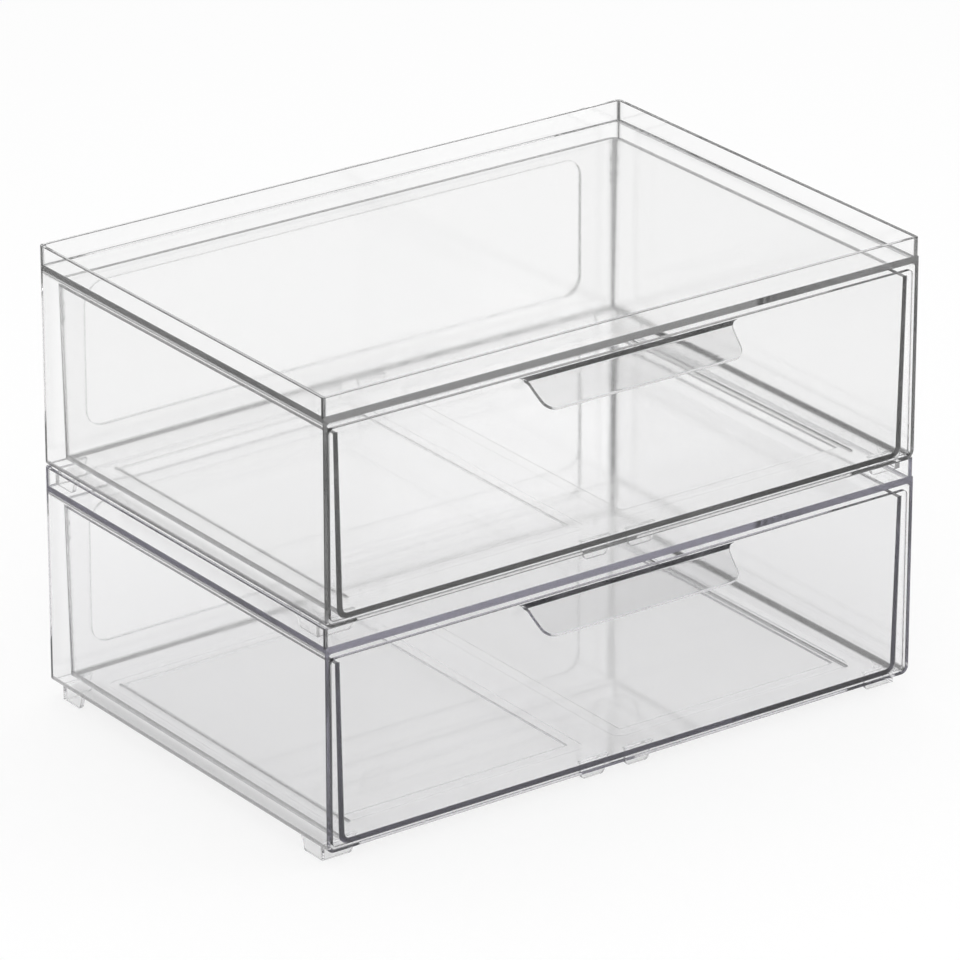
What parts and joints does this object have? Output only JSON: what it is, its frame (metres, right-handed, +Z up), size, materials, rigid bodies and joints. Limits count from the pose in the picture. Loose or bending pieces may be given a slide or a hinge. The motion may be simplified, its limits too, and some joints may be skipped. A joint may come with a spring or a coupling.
{
  "type": "stackable drawer box",
  "caption": "Stack of clear boxes with pull-out drawers; each case stands on the raised rim of the one below, and each drawer has a sloping pull lip.",
  "frame": {"origin": "on the plane the lower feet stand on, at the middle of the width and midway between the lips' front edge and the back wall", "axes": "+Z up; X along the wide front; the drawers open towards -Y"},
  "size_m": [0.406, 0.297, 0.2766],
  "materials": {
    "lower_case": "clear, glossy",
    "lower_drawer": "clear, glossy",
    "upper_case": "clear, glossy",
    "upper_drawer": "clear, glossy"
  },
  "bodies": {
    "lower_case": {"lower_case": "lower_case"},
    "lower_drawer": {"lower_drawer": "lower_drawer"},
    "upper_case": {"upper_case": "upper_case"},
    "upper_drawer": {"upper_drawer": "upper_drawer"}
  },
  "joints": [
    {"name": "lower_drawer_slide", "type": "slide", "parent": "lower_case", "child": "lower_drawer", "axis": [0, -1, 0], "range_m": [0, 0.2]},
    {"name": "upper_case_lift", "type": "slide", "parent": "lower_case", "child": "upper_case", "axis": [0, 0, 1], "range_m": [0, 0.05]},
    {"name": "upper_drawer_slide", "type": "slide", "parent": "upper_case", "child": "upper_drawer", "axis": [0, -1, 0], "range_m": [0, 0.2]}
  ]
}
